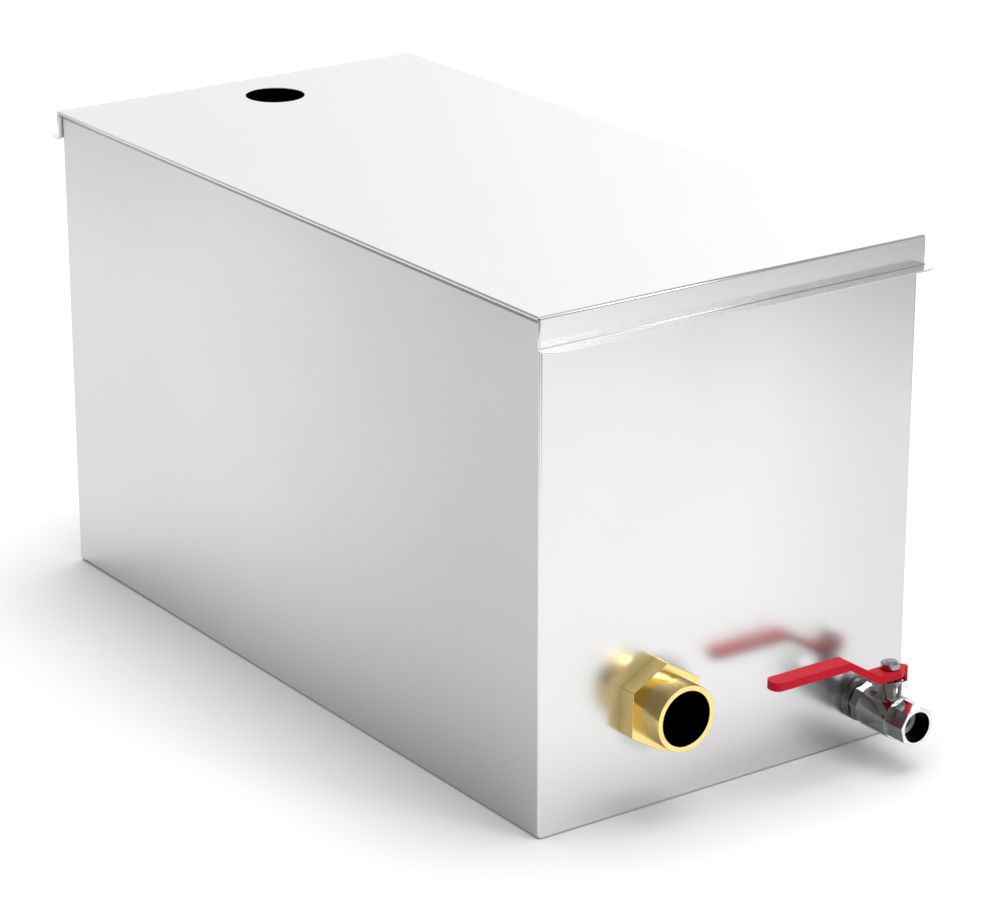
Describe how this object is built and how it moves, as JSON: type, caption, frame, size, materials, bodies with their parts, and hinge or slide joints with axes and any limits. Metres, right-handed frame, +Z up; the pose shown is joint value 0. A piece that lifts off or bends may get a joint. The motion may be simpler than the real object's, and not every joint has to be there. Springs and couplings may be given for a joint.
{
  "type": "grease trap",
  "caption": "Under-sink grease trap: folded stainless steel tank with a loose flanged lid, baffles, a solids basket, a brass outlet and a drain ball valve with a red lever.",
  "frame": {"origin": "on the floor, under the middle of the tank's base", "axes": "+X along the tank towards the outlet end wall, +Y from the front long wall to the back, +Z up"},
  "size_m": [0.6192, 0.286, 0.3241],
  "materials": {
    "tank_steel": "satin stainless sheet",
    "lid_steel": "satin stainless sheet",
    "inner_steel": "satin stainless sheet",
    "basket_steel": "slotted satin stainless sheet",
    "rubber": "matt black rubber",
    "brass": "turned brass",
    "nipple_steel": "turned steel",
    "valve_chrome": "plated, polished",
    "ball_chrome": "polished",
    "seat_plastic": "white seat plastic",
    "lever_red": "red coating"
  },
  "bodies": {
    "tank": {"trough": "tank_steel", "inlet_end_wall": "tank_steel", "outlet_end_wall": "tank_steel", "lid": "lid_steel", "lid_seal": "rubber", "inlet_baffle": "inner_steel", "grease_baffle": "inner_steel", "weir_box": "inner_steel", "basket_rail_end": "inner_steel", "basket_rail_baffle": "inner_steel", "solids_basket": "basket_steel", "outlet_nipple": "brass", "outlet_gasket": "rubber", "outlet_locknut": "brass", "drain_nipple": "nipple_steel", "valve_body": "valve_chrome", "valve_end_piece": "valve_chrome", "inner_seat": "seat_plastic", "outer_seat": "seat_plastic", "stem_packing": "seat_plastic", "gland_nut": "valve_chrome"},
    "valve_lever": {"ball": "ball_chrome", "stem": "nipple_steel", "lever": "lever_red", "lever_nut": "nipple_steel"}
  },
  "joints": [
    {"name": "valve_turn", "type": "hinge", "parent": "tank", "child": "valve_lever", "pos_m": [0.30467, 0.104, 0.03], "axis": [0, 0, 1], "range_deg": [0, 90]}
  ]
}
